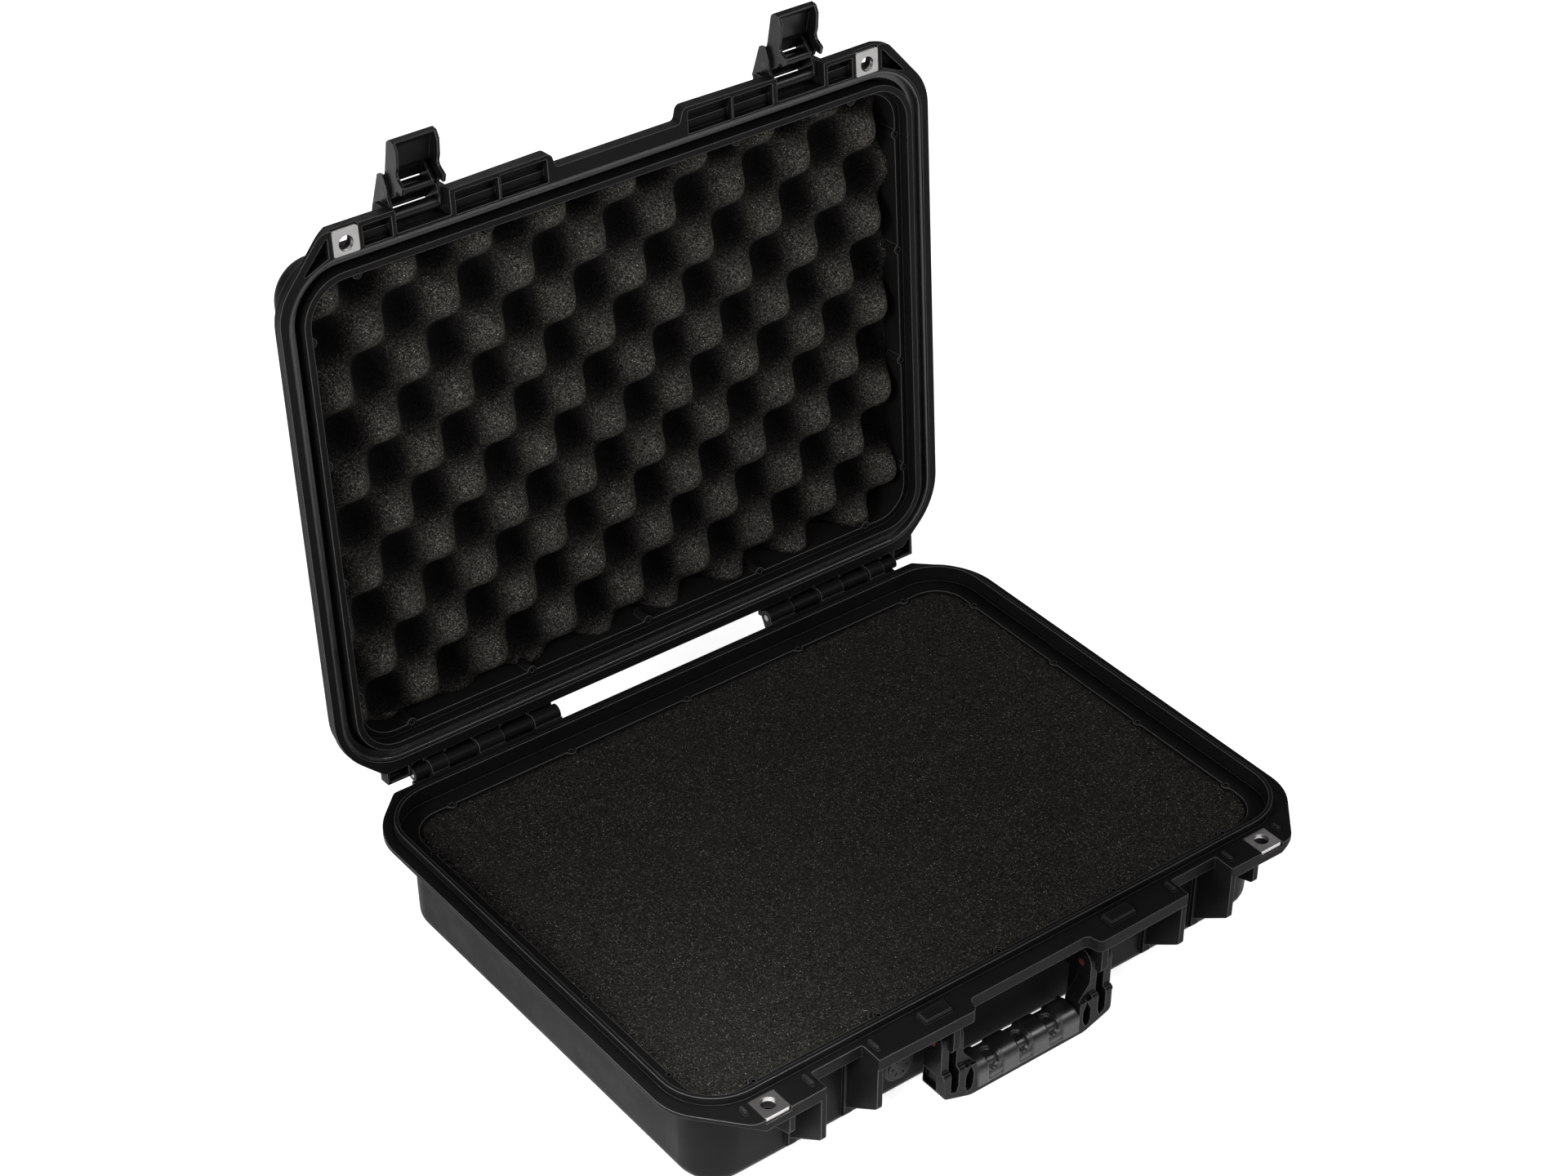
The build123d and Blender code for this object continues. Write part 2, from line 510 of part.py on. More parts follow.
with BuildPart() as handle_frame:
    with BuildSketch(FRONT.offset(-HANDLE_BACK)) as face:
        half = (
            (0, HANDLE_BOTTOM), (BAR_END, HANDLE_BOTTOM), (EAR_OUT[1], EAR_LOW),
            (EAR_OUT[1], EAR_TOP), (EAR_OUT[0], EAR_TOP), (EAR_OUT[0], -60.0),
            (EAR_IN[1] + 1.5, -62.0), (EAR_IN[1], -58.0), (EAR_IN[1], EAR_TOP),
            (EAR_IN[0], EAR_TOP), (EAR_IN[0], -37.5), (GRIP_HALF_X + 0.5, -48.0),
            (GRIP_HALF_X, -50.0), (GRIP_HALF_X, CORE_TOP), (0, CORE_TOP),
        )
        slot = (
            (43.0, -47.0), (40.4, -54.0), (40.6, -61.0), (42.6, -65.4), (45.2, -65.4),
            (46.6, -61.0), (46.4, -54.0),
        )
        with BuildLine():
            Polyline(*half, *[(-x, z) for x, z in reversed(half) if x > 0], close=True)
        make_face()
        for x, z, radius in ((BAR_END, HANDLE_BOTTOM, 12.0), (EAR_OUT[1], EAR_LOW, 5.0),
                             (EAR_IN[0], -37.5, 6.0)):
            for end in (-1, 1):
                fillet(face.vertices().sort_by_distance((end * x, z))[0], radius)
        for end in (-1, 1):
            with BuildLine():
                Polyline(*[(end * x, z) for x, z in slot], close=True)
            make_face(mode=Mode.SUBTRACT)
    extrude(amount=HANDLE_THICK)
    low_edges = edges().filter_by(Axis.X).group_by(Axis.Z)[0]
    chamfer(low_edges.sort_by(Axis.Y)[-1], 3.0)
    chamfer(edges().filter_by(Axis.X).group_by(Axis.Z)[0].sort_by(Axis.Y)[0], 0.6)
    # Above their swellings the ears are set back.
    with Locations((0, EAR_FRONT - 5.0, BASE_DEPTH + KNOB[0] + 20.0)):
        Box(2 * EAR_OUT[1] + 2, 10.0, 40.0, mode=Mode.SUBTRACT)
    fillet(edges().filter_by(Axis.X).group_by(Axis.Z)[-1], 8.6)
    # The bar is thinner under the grip.
    with Locations((0, GRIP_BACK - GRIP_SKIN + 5.0, BASE_DEPTH + HANDLE_BOTTOM)):
        Box(2 * GRIP_HALF_X, 10.0, 60.0, mode=Mode.SUBTRACT)
    for low, high in (EAR_IN, EAR_OUT):
        for x in both_sides(low, high):
            rod(TOP, x, high - low, (EAR_FRONT - 0.3, KNOB[0]), KNOB[1])
    for end in (-1, 1):
        # The flare between ear and grip is on the front half only.
        with Locations((end * (EAR_IN[0] - 5.0), HANDLE_BACK - 2.0, BASE_DEPTH - 46.0)):
            Box(10.0, 12.0, 20.0, mode=Mode.SUBTRACT)
        # A pocket in the foot of each outer ear.
        with Locations((end * EAR_OUT[1], -164.4, BASE_DEPTH - 54.5)):
            Box(5.0, 11.6, 11.6, mode=Mode.SUBTRACT)
    for low in (-EAR_OUT[1] - 1, EAR_IN[0] - 1):
        rod(TOP, low, EAR_OUT[1] - EAR_IN[0] + 2, (HANDLE_Y, HANDLE_Z), HINGE_PIN_R,
            mode=Mode.SUBTRACT)
handle_frame.part.label = "handle_frame"

with BuildPart() as handle_grip:
    grip_mid_z = (GRIP_TOP + GRIP_LOW) / 2
    grip_mid_y = (GRIP_BACK + GRIP_FRONT) / 2
    with BuildSketch(side(TOP, -GRIP_HALF_X)) as section:
        with Locations((grip_mid_y, grip_mid_z)):
            RectangleRounded(GRIP_BACK - GRIP_FRONT, GRIP_TOP - GRIP_LOW, 7.5)
    extrude(section.sketch, amount=2 * GRIP_HALF_X)
    with BuildSketch(side(TOP, -GRIP_HALF_X)) as core:
        with Locations((grip_mid_y, (CORE_TOP + HANDLE_BOTTOM) / 2 - 1)):
            Rectangle(GRIP_BACK - GRIP_FRONT - 2 * GRIP_SKIN, CORE_TOP - HANDLE_BOTTOM + 2)
    extrude(core.sketch, amount=2 * GRIP_HALF_X, mode=Mode.SUBTRACT)
handle_grip.part.label = "handle_grip"
pieces += [handle_frame, handle_grip]

for name, x_low in (("right", EAR_IN[0]), ("left", -EAR_OUT[1])):
    with BuildPart() as handle_pin:
        rod(TOP, x_low, EAR_OUT[1] - EAR_IN[0], (HANDLE_Y, HANDLE_Z), HINGE_PIN_R)
    handle_pin.part.label = f"handle_pin_{name}"
    pieces.append(handle_pin)

# ---- pressure valve -----------------------------------------------------------------------
# The wall leans in, so the valve's seal is drawn at the wall's place at the valve's height.
VALVE_WALL = WALL_Y - (-VALVE_Z - 4.0) * sin(radians(DRAFT))
VALVE = FRONT.offset(VALVE_WALL)

with BuildPart() as valve_seal:
    with BuildSketch(VALVE.offset(0.4)) as face:
        with Locations((VALVE_X, VALVE_Z)):
            Circle(8.0)
            Circle(5.0, mode=Mode.SUBTRACT)
    extrude(face.sketch, amount=1.0)
valve_seal.part.label = "valve_seal"

with BuildPart() as valve_body:
    with BuildSketch(VALVE.offset(1.4)) as disc:
        with Locations((VALVE_X, VALVE_Z)):
            Circle(VALVE_R)
    extrude(disc.sketch, amount=1.8)
    chamfer(faces().sort_by(Axis.Y)[0].edges(), 0.6)
    with BuildSketch(VALVE.offset(-10.0)) as shank:
        with Locations((VALVE_X, VALVE_Z)):
            Circle(4.8)
            Circle(2.5, mode=Mode.SUBTRACT)
    extrude(shank.sketch, amount=11.4)
    with BuildSketch(VALVE.offset(2.2)) as seat:
        with Locations((VALVE_X, VALVE_Z)):
            Circle(7.6)
    extrude(seat.sketch, amount=2.0, mode=Mode.SUBTRACT)
valve_body.part.label = "valve_body"

with BuildPart() as valve_cap:
    with BuildSketch(VALVE.offset(2.2)) as face:
        with Locations((VALVE_X, VALVE_Z)):
            Circle(7.5)
            with PolarLocations(5.0, 6):
                SlotOverall(2.6, 1.0, mode=Mode.SUBTRACT)
    extrude(face.sketch, amount=1.6)
valve_cap.part.label = "valve_cap"

with BuildPart() as valve_nut:
    with BuildSketch(VALVE.offset(-8.6)) as face:
        with Locations((VALVE_X, VALVE_Z)):
            RegularPolygon(8.0, 6)
            Circle(4.8, mode=Mode.SUBTRACT)
    extrude(face.sketch, amount=3.6)
valve_nut.part.label = "valve_nut"
pieces += [valve_seal, valve_body, valve_cap, valve_nut]

# ---- output -----------------------------------------------------------------------------
os.makedirs("parts", exist_ok=True)
for piece in pieces:
    export_step(piece.part, f"parts/{piece.part.label}.step")
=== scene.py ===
import json
import math

import bmesh
import bpy
from mathutils import Matrix, Vector, noise


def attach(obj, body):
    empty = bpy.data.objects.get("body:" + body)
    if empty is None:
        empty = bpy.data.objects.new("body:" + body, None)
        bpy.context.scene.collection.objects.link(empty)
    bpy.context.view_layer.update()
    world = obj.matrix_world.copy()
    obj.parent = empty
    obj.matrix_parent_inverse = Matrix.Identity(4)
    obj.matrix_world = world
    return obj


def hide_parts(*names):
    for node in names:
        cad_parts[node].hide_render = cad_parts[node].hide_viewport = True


# A hard equipment case, open, on a pale floor. The CAD nodes carry the hard parts; the foam
# and the rubber grip are built here as meshes in their places.

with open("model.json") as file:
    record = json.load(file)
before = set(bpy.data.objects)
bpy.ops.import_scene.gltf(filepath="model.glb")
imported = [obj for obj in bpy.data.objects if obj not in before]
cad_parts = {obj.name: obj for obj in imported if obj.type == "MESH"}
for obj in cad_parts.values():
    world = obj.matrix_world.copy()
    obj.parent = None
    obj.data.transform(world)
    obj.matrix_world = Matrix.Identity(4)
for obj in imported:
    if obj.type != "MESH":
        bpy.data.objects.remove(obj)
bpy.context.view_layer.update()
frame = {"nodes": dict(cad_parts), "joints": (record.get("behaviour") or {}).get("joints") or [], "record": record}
nodes = frame["nodes"]
joints = {joint["name"]: joint for joint in frame["joints"]}

# ---- the lid's own frame: x, y and depth of the closed lid, turned about the hinge -----------
LID_ANGLE = math.radians(94.4)
HINGE = Vector(joints["lid_hinge"]["pos_m"])
TURN = Matrix.Rotation(-LID_ANGLE, 4, "X")
TO_ROW = Matrix.Translation(HINGE) @ TURN @ Matrix.Translation((0, -HINGE.y, 0))


# ---- node helpers ----------------------------------------------------------------------------
class Graph:
    """A material's node tree, with short calls for the nodes that the materials below share."""

    def __init__(self, name):
        self.material = bpy.data.materials.new(name)
        self.material.use_nodes = True
        self.tree = self.material.node_tree
        self.shader = self.tree.nodes["Principled BSDF"]
        self.place = self.add("ShaderNodeTexCoord").outputs["Object"]

    def add(self, kind, **settings):
        node = self.tree.nodes.new(kind)
        for key, value in settings.items():
            setattr(node, key, value)
        return node

    def feed(self, value, socket):
        if isinstance(value, bpy.types.NodeSocket):
            self.tree.links.new(value, socket)
        else:
            socket.default_value = value

    def stretched(self, scale):
        mapping = self.add("ShaderNodeMapping")
        self.feed(self.place, mapping.inputs["Vector"])
        mapping.inputs["Scale"].default_value = scale
        return mapping.outputs["Vector"]

    def noise(self, scale, detail=2.0, roughness=0.5, place=None):
        node = self.add("ShaderNodeTexNoise")
        self.feed(place or self.place, node.inputs["Vector"])
        node.inputs["Scale"].default_value = scale
        node.inputs["Detail"].default_value = detail
        node.inputs["Roughness"].default_value = roughness
        return node.outputs["Fac"]

    def cells(self, scale, randomness=1.0, feature="F1"):
        node = self.add("ShaderNodeTexVoronoi", feature=feature)
        self.feed(self.place, node.inputs["Vector"])
        node.inputs["Scale"].default_value = scale
        node.inputs["Randomness"].default_value = randomness
        return node

    def ramp(self, value, stops):
        node = self.add("ShaderNodeValToRGB")
        self.feed(value, node.inputs["Fac"])
        elements = node.color_ramp.elements
        while len(elements) < len(stops):
            elements.new(0.5)
        for element, (position, colour) in zip(elements, stops):
            element.position = position
            element.color = (*colour, 1.0) if len(colour) == 3 else colour
        return node.outputs["Color"]

    def range(self, value, low, high, to_low, to_high):
        node = self.add("ShaderNodeMapRange")
        self.feed(value, node.inputs["Value"])
        node.inputs["From Min"].default_value = low
        node.inputs["From Max"].default_value = high
        node.inputs["To Min"].default_value = to_low
        node.inputs["To Max"].default_value = to_high
        return node.outputs["Result"]

    def math(self, operation, first, second):
        node = self.add("ShaderNodeMath", operation=operation)
        self.feed(first, node.inputs[0])
        self.feed(second, node.inputs[1])
        return node.outputs["Value"]

    def mix(self, share, first, second, blend="MIX"):
        node = self.add("ShaderNodeMix", data_type="RGBA", blend_type=blend)
        self.feed(share, node.inputs["Factor"])
        self.feed(first, node.inputs[6])
        self.feed(second, node.inputs[7])
        return node.outputs[2]

    def bump(self, height, distance, strength=1.0, normal=None):
        node = self.add("ShaderNodeBump")
        self.feed(height, node.inputs["Height"])
        node.inputs["Distance"].default_value = distance
        node.inputs["Strength"].default_value = strength
        if normal is not None:
            self.feed(normal, node.inputs["Normal"])
        return node.outputs["Normal"]

    def rounded(self, radius):
        node = self.add("ShaderNodeBevel", samples=6)
        node.inputs["Radius"].default_value = radius
        return node.outputs["Normal"]

    def edge_share(self, turned):
        """1 on a rounded edge, 0 on a flat: how far the rounded normal turns from the face's."""
        dot = self.add("ShaderNodeVectorMath", operation="DOT_PRODUCT")
        self.feed(turned, dot.inputs[0])
        self.feed(self.add("ShaderNodeNewGeometry").outputs["Normal"], dot.inputs[1])
        return self.range(dot.outputs["Value"], 0.82, 0.995, 1.0, 0.0)

    def open_share(self, reach):
        """0 deep in a hole or corner, 1 in the open."""
        node = self.add("ShaderNodeAmbientOcclusion", samples=6, only_local=True)
        node.inputs["Distance"].default_value = reach
        return self.range(node.outputs["AO"], 0.30, 0.80, 0.0, 1.0)

    def surface(self, colour, roughness, normal=None, **uniform):
        self.feed(colour, self.shader.inputs["Base Color"])
        self.feed(roughness, self.shader.inputs["Roughness"])
        if normal is not None:
            self.feed(normal, self.shader.inputs["Normal"])
        for name, value in uniform.items():
            self.shader.inputs[name.replace("_", " ")].default_value = value
        return self.material


def grey(value, warmth=0.0):
    return (value * (1 + warmth), value, value * (1 - warmth))


def olive(value):
    return (value * 1.05, value, value * 0.87)


# ---- materials -------------------------------------------------------------------------------
def moulded_plastic(name, tone, rough, grain, edge=0.0008, gloss=0.04, pale=0.13):
    """Black moulded plastic: a fine spark-eroded grain, faint cloudiness, handling marks and
    softly rounded edges, smoother and with a painted highlight in the pale colour; painted
    shade darkens the colour deep in holes and corners."""
    g = Graph(name)
    fine = g.noise(2600.0, 3.0, 0.65)
    medium = g.noise(700.0, 2.0, 0.5)
    cloud = g.noise(14.0, 4.0, 0.6)
    colour = g.mix(g.range(cloud, 0.35, 0.7, 0.0, 1.0), (*grey(tone * 0.85), 1),
                   (*grey(tone * 1.2), 1))
    speck = g.range(fine, 0.45, 0.75, 0.0, 0.35)
    colour = g.mix(speck, colour, (*grey(tone * 1.9), 1))
    worn = g.range(g.noise(55.0, 5.0, 0.7), 0.4, 0.75, rough + 0.05, rough - 0.07)
    turned = g.rounded(edge)
    openness = g.open_share(0.005)
    # Painted highlight: the pale colour is mixed onto rounded edges outside holes, which also get a lower
    # roughness.
    painted_highlight_share = g.math("MULTIPLY", g.edge_share(turned), openness)
    colour = g.mix(g.math("MULTIPLY", painted_highlight_share, 0.8), colour, (*grey(pale), 1))
    worn = g.math("SUBTRACT", worn, g.math("MULTIPLY", painted_highlight_share, 0.12))
    # Painted shade: the colour falls to a tenth of the tone deep in holes and corners.
    colour = g.mix(openness, (*grey(tone * 0.1), 1), colour)
    normal = g.bump(medium, grain * 2.0, 0.5, g.bump(fine, grain, 1.0, turned))
    return g.surface(colour, worn, normal, Specular_IOR_Level=gloss)


def brushed_steel(name, tone, rough, along, tint=None):
    """Satin metal with fine brushed lines and faint smears."""
    g = Graph(name)
    lines = g.noise(900.0, 4.0, 0.7, g.stretched(along))
    smear = g.noise(60.0, 3.0, 0.6)
    pale = tint or grey(tone, 0.02)
    dull = [0.8 * part for part in pale]
    colour = g.mix(g.range(smear, 0.3, 0.7, 0.0, 1.0), (*dull, 1), (*pale, 1))
    roughness = g.math("ADD", g.range(lines, 0.3, 0.7, rough - 0.05, rough + 0.08),
                       g.range(smear, 0.3, 0.7, -0.03, 0.05))
    normal = g.bump(lines, 0.00003, 0.6, g.rounded(0.0003))
    return g.surface(colour, roughness, normal, Metallic=1.0)


def soft_rubber(name, tone, rough, grain_scale=1500.0):
    """Black rubber with a dull, slightly blotchy skin."""
    g = Graph(name)
    skin = g.noise(grain_scale, 4.0, 0.6)
    blotch = g.noise(90.0, 3.0, 0.6)
    colour = g.mix(g.range(blotch, 0.35, 0.7, 0.0, 1.0), (*grey(tone * 0.8), 1),
                   (*grey(tone * 1.3), 1))
    roughness = g.range(blotch, 0.3, 0.7, rough - 0.08, rough + 0.08)
    normal = g.bump(blotch, 0.0003, 0.35, g.bump(skin, 0.00006, 0.8, g.rounded(0.0005)))
    return g.surface(colour, roughness, normal, Specular_IOR_Level=0.5)


def open_foam(name, tone, hollows=False):
    """Charcoal open-cell foam: dark pores, pale cell walls in clumps, and rare bright glints.
    With hollows, the mesh's hollow attribute paints shade into the pits between the crests and paints light onto
    the crests."""
    g = Graph(name)
    pores = g.cells(900.0).outputs["Distance"]
    clumps = g.noise(620.0, 4.0, 0.75)
    cloud = g.noise(45.0, 5.0, 0.7)
    base = g.mix(g.range(cloud, 0.3, 0.7, 0.0, 1.0), (*olive(tone * 0.75), 1),
                 (*olive(tone * 1.25), 1))
    base = g.mix(g.range(clumps, 0.48, 0.70, 0.0, 1.0), base, (*olive(tone * 3.8), 1))
    base = g.mix(g.range(pores, 0.35, 0.65, 0.0, 0.85), base, (*olive(tone * 0.12), 1))
    for scale, spread, tint in ((800.0, 0.26, 0.20), (380.0, 0.11, 0.50)):
        glint = g.cells(scale)
        chance = g.range(glint.outputs["Color"], 0.55, 0.75, 0.0, 1.0)
        shape = g.range(glint.outputs["Distance"], spread * 0.5, spread, 1.0, 0.0)
        base = g.mix(g.math("MULTIPLY", shape, chance), base, (*olive(tint), 1))
    if hollows:
        # Painted shade and light: the colour is darkened down to 4 % in the pits and lightened to 1.6 times on the
        # crests.
        hollow = g.add("ShaderNodeAttribute", attribute_name="hollow").outputs["Fac"]
        shade = g.ramp(hollow, [(0.0, (1.6, 1.6, 1.6)), (0.30, (1.0, 1.0, 1.0)),
                                (0.62, (0.18, 0.18, 0.18)), (0.92, (0.04, 0.04, 0.04))])
        base = g.mix(1.0, base, shade, "MULTIPLY")
    height = g.math("SUBTRACT", clumps, g.math("MULTIPLY", pores, 0.7))
    normal = g.bump(height, 0.0008, 1.0)
    return g.surface(base, 0.95, normal, Specular_IOR_Level=0.1)


SHELL = moulded_plastic("shell_plastic", 0.0055, 0.42, 0.00004)
LATCH = moulded_plastic("latch_plastic", 0.003, 0.32, 0.00001, 0.0007, 0.20, 0.10)
HANDLE = moulded_plastic("handle_plastic", 0.004, 0.26, 0.00002, 0.0008, 0.07, 0.12)
VALVE = moulded_plastic("valve_plastic", 0.010, 0.42, 0.00004, 0.0004, 0.12)
PLATE = brushed_steel("plate_steel", 0.56, 0.32, (0.08, 1.0, 1.0))
# Painted shade: the lid's padlock plates get a darker copy of the plate steel.
LID_PLATE = brushed_steel("lid_plate_steel", 0.36, 0.34, (0.08, 1.0, 1.0))
PIN = brushed_steel("pin_steel", 0.30, 0.30, (0.1, 1.0, 1.0))
GASKET = soft_rubber("gasket_rubber", 0.016, 0.34)
GRIP = soft_rubber("grip_rubber", 0.007, 0.36)
BLACK_PIN = brushed_steel("blackened_pin", 0.045, 0.42, (0.1, 1.0, 1.0))
RIVET = brushed_steel("red_rivet", 0.42, 0.45, (1.0, 1.0, 1.0), (0.30, 0.05, 0.045))
FOAM = open_foam("charcoal_foam", 0.013)
EGG_CRATE = open_foam("charcoal_egg_crate", 0.024, hollows=True)

NODE_MATERIALS = {"shell": SHELL, "latch": LATCH, "handle": HANDLE, "valve": VALVE,
                  "plate": PLATE, "pin": PIN, "gasket": GASKET, "grip": GRIP, "foam": FOAM}
for part in frame["record"]["subparts"]:
    mesh = nodes[part["node"]].data
    mesh.materials.clear()
    mesh.materials.append(NODE_MATERIALS[part["material_slot"]])
for side in ("left", "right"):
    nodes[f"handle_pin_{side}"].data.materials[0] = RIVET
    nodes[f"latch_lever_pin_{side}"].data.materials[0] = BLACK_PIN
    nodes[f"latch_body_pin_{side}"].data.materials[0] = BLACK_PIN
    nodes[f"lid_padlock_plate_{side}"].data.materials[0] = LID_PLATE


# Places of the panel screws: the two long rows, then the two short ones.
SCREW_Y, SCREWS_ALONG_X = 0.1474, (0.0, 0.0865, 0.172)
SCREW_X, SCREWS_ALONG_Y = 0.205, (0.0385, 0.116)


# ---- mesh helpers ----------------------------------------------------------------------------
def mesh_object(name, vertices, faces, material, smooth=True):
    mesh = bpy.data.meshes.new(name)
    mesh.from_pydata([tuple(v) for v in vertices], [], faces)
    mesh.validate()
    if smooth:
        mesh.shade_smooth()
    mesh.materials.append(material)
    obj = bpy.data.objects.new(name, mesh)
    bpy.context.scene.collection.objects.link(obj)
    return obj


def screw_places():
    """Centres of the panel screw bosses, in the mating plane."""
    places = [(sx * x, sy * SCREW_Y) for x in SCREWS_ALONG_X for sx in (-1, 1)
              for sy in (-1, 1) if x or sx > 0]
    return places + [(sx * SCREW_X, sy * y) for y in SCREWS_ALONG_Y for sx in (-1, 1)
                     for sy in (-1, 1)]


def foam_outline_x(y, half_x, half_y, radius):
    """Half width of a rounded rectangle at the height y."""
    over = max(0.0, abs(y) - (half_y - radius))
    return half_x - radius + math.sqrt(max(0.0, radius ** 2 - over ** 2))


def foam_slab(half_x, half_y, radius, top, bottom, step, crown):
    """A closed foam slab. top(x, y) gives its upper surface; crown rounds its upper edge."""
    count_x = 2 * round(half_x / step)
    count_y = 2 * round(half_y / step)
    rows = []
    for j in range(count_y + 1):
        y = -half_y + 2 * half_y * j / count_y
        reach = foam_outline_x(y, half_x, half_y, radius)
        rows.append([(reach * (2 * i / count_x - 1), y) for i in range(count_x + 1)])
    wide = count_x + 1
    vertices = []
    for row in rows:
        for x, y in row:
            edge = min(half_y - abs(y), foam_outline_x(y, half_x, half_y, radius) - abs(x))
            drop = crown * max(0.0, 1 - edge / (2 * crown)) ** 2
            vertices.append((x, y, top(x, y) + drop))
    for row in rows:
        vertices += [(x, y, bottom) for x, y in row]
    under = wide * (count_y + 1)
    faces = []
    for j in range(count_y):
        for i in range(count_x):
            a = j * wide + i
            faces.append((a, a + wide, a + wide + 1, a + 1))
            faces.append((under + a, under + a + 1, under + a + wide + 1, under + a + wide))
    loop = list(range(wide))
    loop += [j * wide + count_x for j in range(1, count_y + 1)]
    loop += [count_y * wide + i for i in range(count_x - 1, -1, -1)]
    loop += [j * wide for j in range(count_y - 1, 0, -1)]
    for a, b in zip(loop, loop[1:] + loop[:1]):
        faces.append((a, b, under + b, under + a))
    return vertices, faces


def cut_bosses(obj, radius, low, high, matrix):
    """Cuts a clearance round every screw boss out of a foam piece."""
    bm = bmesh.new()
    for x, y in screw_places():
        spot = matrix @ Matrix.Translation((x, y, (low + high) / 2))
        bmesh.ops.create_cone(bm, cap_ends=True, segments=24, radius1=radius, radius2=radius,
                              depth=high - low, matrix=spot)
    mesh = bpy.data.meshes.new("cutter")
    bm.to_mesh(mesh)
    bm.free()
    cutter = bpy.data.objects.new("cutter", mesh)
    bpy.context.scene.collection.objects.link(cutter)
    modifier = obj.modifiers.new("bosses", "BOOLEAN")
    modifier.object = cutter
    modifier.solver = "EXACT"
    modifier.operation = "DIFFERENCE"
    bpy.context.view_layer.update()
    evaluated = obj.evaluated_get(bpy.context.evaluated_depsgraph_get())
    result = bpy.data.meshes.new_from_object(evaluated)
    obj.modifiers.clear()
    obj.data = result
    bpy.data.objects.remove(cutter)


# ---- base foam -------------------------------------------------------------------------------
MATING = HINGE.z           # height of the mating plane
BASE_ROW = Matrix.Translation((0, 0, MATING)) @ Matrix.Rotation(math.pi, 4, "X")
ROOM_X, ROOM_Y, ROOM_R = 0.2043, 0.1473, 0.021
BOSS_R, BOSS_END = 0.0031, 0.019
BOSS_GAP = 0.0003
BASE_FACE, PAD_FACE = 0.0072, 0.0582        # depths of the block's and the pad's upper faces
BASE_BLOCK_END, PAD_END = 0.0578, 0.0672
CUT_PAST = 0.001           # how far the boss cut runs past the boss


def base_top(x, y):
    swell = noise.noise(Vector((x * 9, y * 9, 0.3))) * 0.0004
    return BASE_FACE + swell


vertices, faces = foam_slab(ROOM_X - 0.0006, ROOM_Y - 0.0006, ROOM_R,
                            base_top, BASE_BLOCK_END, 0.004, 0.0008)
base_foam = mesh_object("base_foam_block", [BASE_ROW @ Vector(v) for v in vertices], faces, FOAM)
cut_bosses(base_foam, BOSS_R + BOSS_GAP, 0.0, BOSS_END + CUT_PAST, BASE_ROW)
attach(base_foam, "base")
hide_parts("base_foam")

vertices, faces = foam_slab(ROOM_X - 0.0018, ROOM_Y - 0.0018, ROOM_R,
                            lambda x, y: PAD_FACE, PAD_END, 0.008, 0.0006)
base_pad = mesh_object("base_foam_bottom", [BASE_ROW @ Vector(v) for v in vertices], faces, FOAM)
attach(base_pad, "base")
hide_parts("base_foam_pad")

# ---- lid foam: egg-crate ---------------------------------------------------------------------
CREST, SWING = 0.0072, 0.0255              # depth of the crests, and of the hollows below them
LID_FOAM_END = 0.0432
ACROSS = Vector((0.0501, -0.0019))         # from one hollow to the next along a row
DOWN = Vector((0.0261, 0.0288))            # to the next row
VALLEY = Vector((0.0152, 0.0050))          # one hollow's place
CELL_AREA = ACROSS.x * DOWN.y - ACROSS.y * DOWN.x


def egg_crate(x, y):
    """Depth of the egg-crate surface below the lid's mating plane."""
    wobble = 0.0016
    x += wobble * noise.noise(Vector((x * 14, y * 14, 1.7)))
    y += wobble * noise.noise(Vector((x * 14, y * 14, 5.1)))
    dx, dy = x - VALLEY.x, y - VALLEY.y
    u = (dx * DOWN.y - dy * DOWN.x) / CELL_AREA
    v = (ACROSS.x * dy - ACROSS.y * dx) / CELL_AREA
    low = (math.cos(2 * math.pi * u) + math.cos(2 * math.pi * (u + v))) / 2
    share = (1 + low) / 2
    share = 0.45 * share + 0.55 * share * share * (3 - 2 * share)
    return CREST + SWING * share


vertices, faces = foam_slab(ROOM_X - 0.0005, ROOM_Y - 0.0005, ROOM_R,
                            egg_crate, LID_FOAM_END, 0.0025, 0.0006)
faces = [tuple(reversed(face)) for face in faces]
lid_foam = mesh_object("lid_foam_egg_crate", [TO_ROW @ Vector(v) for v in vertices], faces,
                       EGG_CRATE)
# How deep each point lies between crest and pit, read by the egg-crate material for its painted shade and light.
hollow = lid_foam.data.attributes.new("hollow", "FLOAT", "POINT")
hollow.data.foreach_set("value", [min(1.0, max(0.0, (v[2] - CREST) / SWING)) for v in vertices])
cut_bosses(lid_foam, BOSS_R + BOSS_GAP, 0.0, BOSS_END + CUT_PAST, TO_ROW)
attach(lid_foam, "lid")
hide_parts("lid_foam")

# ---- handle grip -----------------------------------------------------------------------------
GRIP_HALF = 0.038
GRIP_FRONT, GRIP_BACK = -0.1773, -0.1573
GRIP_TOP, GRIP_LOW = MATING - 0.0507, MATING - 0.0665
GRIP_ROUND = 0.0072
ZONES = [(-0.0296, -0.0192), (-0.0074, 0.0028), (0.0148, 0.0250)]    # recessed, along x
SLOT_HALF = 0.0035


def soft_step(value, low, high):
    share = min(1.0, max(0.0, (value - low) / (high - low)))
    return share * share * (3 - 2 * share)


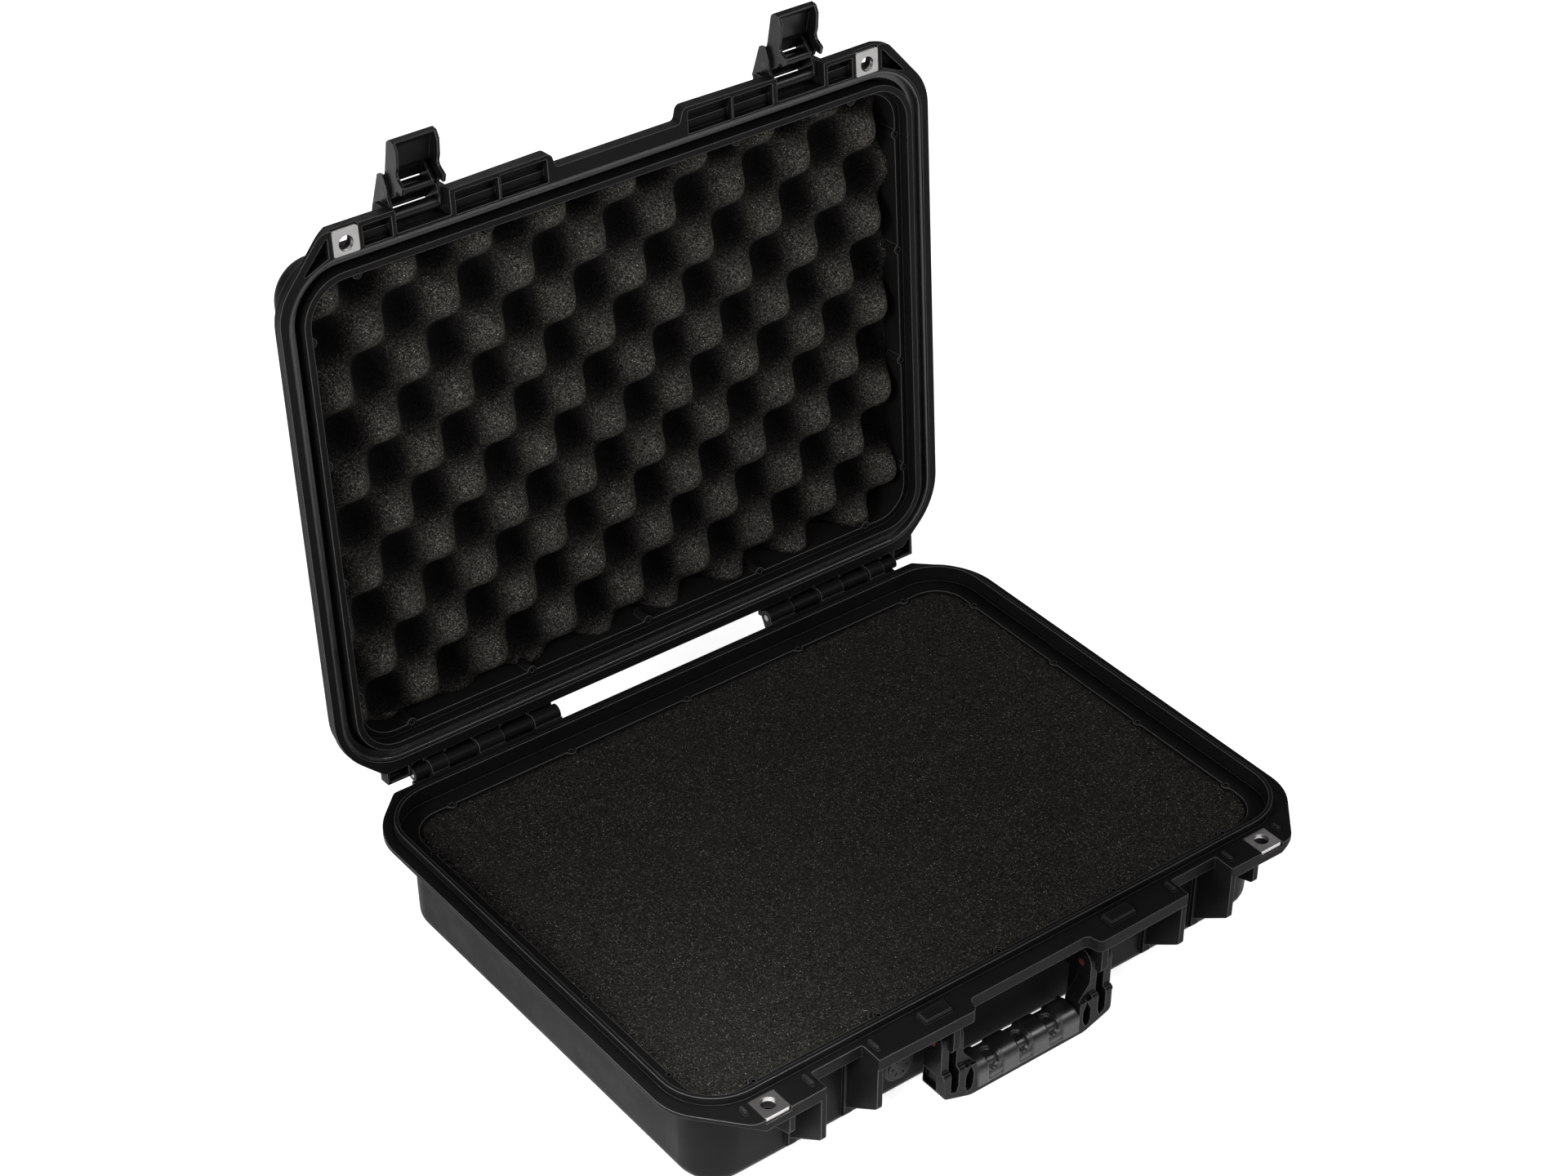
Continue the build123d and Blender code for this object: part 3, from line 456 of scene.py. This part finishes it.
def grip_profile(count):
    """Points and outward normals of the grip's outside, from its front foot over the top to
    its back foot, evenly spaced; each with the way gone so far."""
    radius = GRIP_ROUND
    path = [(GRIP_FRONT, GRIP_LOW)]
    corners = ((GRIP_FRONT + radius, math.pi), (GRIP_BACK - radius, math.pi / 2))
    for centre, start in corners:
        for k in range(17):
            angle = start - k / 16 * math.pi / 2
            path.append((centre + radius * math.cos(angle),
                         GRIP_TOP - radius + radius * math.sin(angle)))
    path.append((GRIP_BACK, GRIP_LOW))
    ways = [0.0]
    for a, b in zip(path, path[1:]):
        ways.append(ways[-1] + math.dist(a, b))
    points = []
    k = 0
    for i in range(count + 1):
        way = ways[-1] * i / count
        while k < len(path) - 2 and ways[k + 1] < way:
            k += 1
        share = (way - ways[k]) / (ways[k + 1] - ways[k])
        y = path[k][0] + share * (path[k + 1][0] - path[k][0])
        z = path[k][1] + share * (path[k + 1][1] - path[k][1])
        along = Vector((path[k + 1][0] - path[k][0], path[k + 1][1] - path[k][1])).normalized()
        points.append((y, z, -along.y, along.x, way))
    return points


def grip_sink(x, way, z):
    """How far the grip's surface lies below its bands: zones, slots, panel lines and seams."""
    sink = 0.0
    ease = 0.0006
    thick = soft_step(z, MATING - 0.0620, MATING - 0.0590)
    for low, high in ZONES:
        inside = soft_step(x, low - ease, low + ease) * (1 - soft_step(x, high - ease, high + ease))
        sink = max(sink, inside * (0.0003 + 0.0009 * thick))
        middle = (low + high) / 2 - 0.0006
        past = max(0.0, SLOT_START - way, way - SLOT_STOP)
        reach = math.hypot(x - middle, past)
        sink += 0.0022 * (1 - soft_step(reach, SLOT_HALF - 0.0004, SLOT_HALF + 0.0002))
        on_side = abs(x - low - 0.0004) < 0.00035 or abs(x - high + 0.0004) < 0.00035
        if on_side and PANEL_LOW < way < SLOT_START:
            sink += 0.0003
        if low < x < high and abs(way - PANEL_LOW) < 0.00035:
            sink += 0.0003
    return sink


SLOT_START, SLOT_STOP = 0.0105, 0.0215      # the slots' centres, as ways along the profile
PANEL_LOW = 0.0022
CORE_TOP = MATING - 0.0604                  # where the stiff bar stops inside the grip
ROUND_COUNT, LONG_COUNT = 96, 304
profile = grip_profile(ROUND_COUNT)
vertices = []
for i in range(LONG_COUNT + 1):
    x = -GRIP_HALF + 2 * GRIP_HALF * i / LONG_COUNT
    end = max(0.0, 1 - (GRIP_HALF - abs(x)) / 0.0012)
    for y, z, ny, nz, way in profile:
        sink = grip_sink(x, way, z) + 0.0008 * end * end
        vertices.append((x, y - ny * sink, z - nz * sink))
    for y, z in ((GRIP_BACK - 0.0006, GRIP_LOW), (GRIP_BACK - 0.0010, CORE_TOP),
                 (GRIP_FRONT + 0.0010, CORE_TOP), (GRIP_FRONT + 0.0006, GRIP_LOW)):
        vertices.append((x, y, z))
ring = ROUND_COUNT + 5
faces = []
for i in range(LONG_COUNT):
    for j in range(ring):
        a, b = i * ring + j, i * ring + (j + 1) % ring
        faces.append((a, b, b + ring, a + ring))
faces.append(tuple(range(ring - 1, -1, -1)))
faces.append(tuple(range(LONG_COUNT * ring, (LONG_COUNT + 1) * ring)))
grip = mesh_object("handle_grip_rubber", vertices, faces, GRIP)
grip.data.set_sharp_from_angle(angle=math.radians(50))
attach(grip, "handle")
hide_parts("handle_grip")

# ---- floor, light and camera -----------------------------------------------------------------
FLOOR_GLOW = 0.80          # the floor is a softly lit table
WORLD = 0.16
floor = mesh_object("studio_floor", [(-60, -60, 0), (60, -60, 0), (60, 60, 0), (-60, 60, 0)],
                    [(0, 1, 2, 3)], None, smooth=False)
paper = Graph("pale_floor")
fibre = paper.noise(35.0, 3.0, 0.5)
paper.surface(paper.mix(fibre, (0.80, 0.80, 0.80, 1), (0.84, 0.84, 0.84, 1)), 0.9,
              Emission_Color=(1, 1, 1, 1), Emission_Strength=FLOOR_GLOW)
floor.data.materials.clear()
floor.data.materials.append(paper.material)

world = bpy.data.worlds.new("studio")
world.use_nodes = True
world.node_tree.nodes["Background"].inputs["Color"].default_value = (1, 1, 1, 1)
world.node_tree.nodes["Background"].inputs["Strength"].default_value = WORLD
bpy.context.scene.world = world


def area_light(name, place, target, size, power, spread=180.0):
    light = bpy.data.lights.new(name, "AREA")
    light.shape = "RECTANGLE"
    light.size, light.size_y = size
    light.energy = power
    light.spread = math.radians(spread)
    obj = bpy.data.objects.new(name, light)
    obj.location = place
    aim = Vector(target) - Vector(place)
    obj.rotation_euler = aim.to_track_quat("-Z", "Y").to_euler()
    bpy.context.scene.collection.objects.link(obj)


area_light("key", (-1.9, -0.3, 1.0), (0, 0.05, 0.15), (0.7, 0.7), 34.0)
area_light("front", (1.15, -1.25, 1.75), (0, 0, 0.1), (1.1, 0.5), 22.0)
area_light("low", (-0.9, -1.9, 1.5), (0, -0.1, 0.1), (0.8, 0.4), 10.0)
area_light("corner", (-0.34, -0.32, 0.36), (-0.19, -0.15, 0.065), (0.10, 0.10), 0.20, 50.0)
area_light("rim", (0.2, 2.2, 1.3), (0, 0.1, 0.2), (2.2, 0.4), 10.0)

lens = bpy.data.cameras.new("camera")
lens.sensor_width = 36.0
lens.lens = 76.14
lens.clip_start, lens.clip_end = 0.05, 100.0
camera = bpy.data.objects.new("camera", lens)
camera.location = (-0.95366, -1.17992, 1.29465)
camera.rotation_euler = (0.95861, -0.00458, -0.65613)
bpy.context.scene.collection.objects.link(camera)
bpy.context.scene.camera = camera
bpy.context.scene.view_settings.view_transform = "Standard"
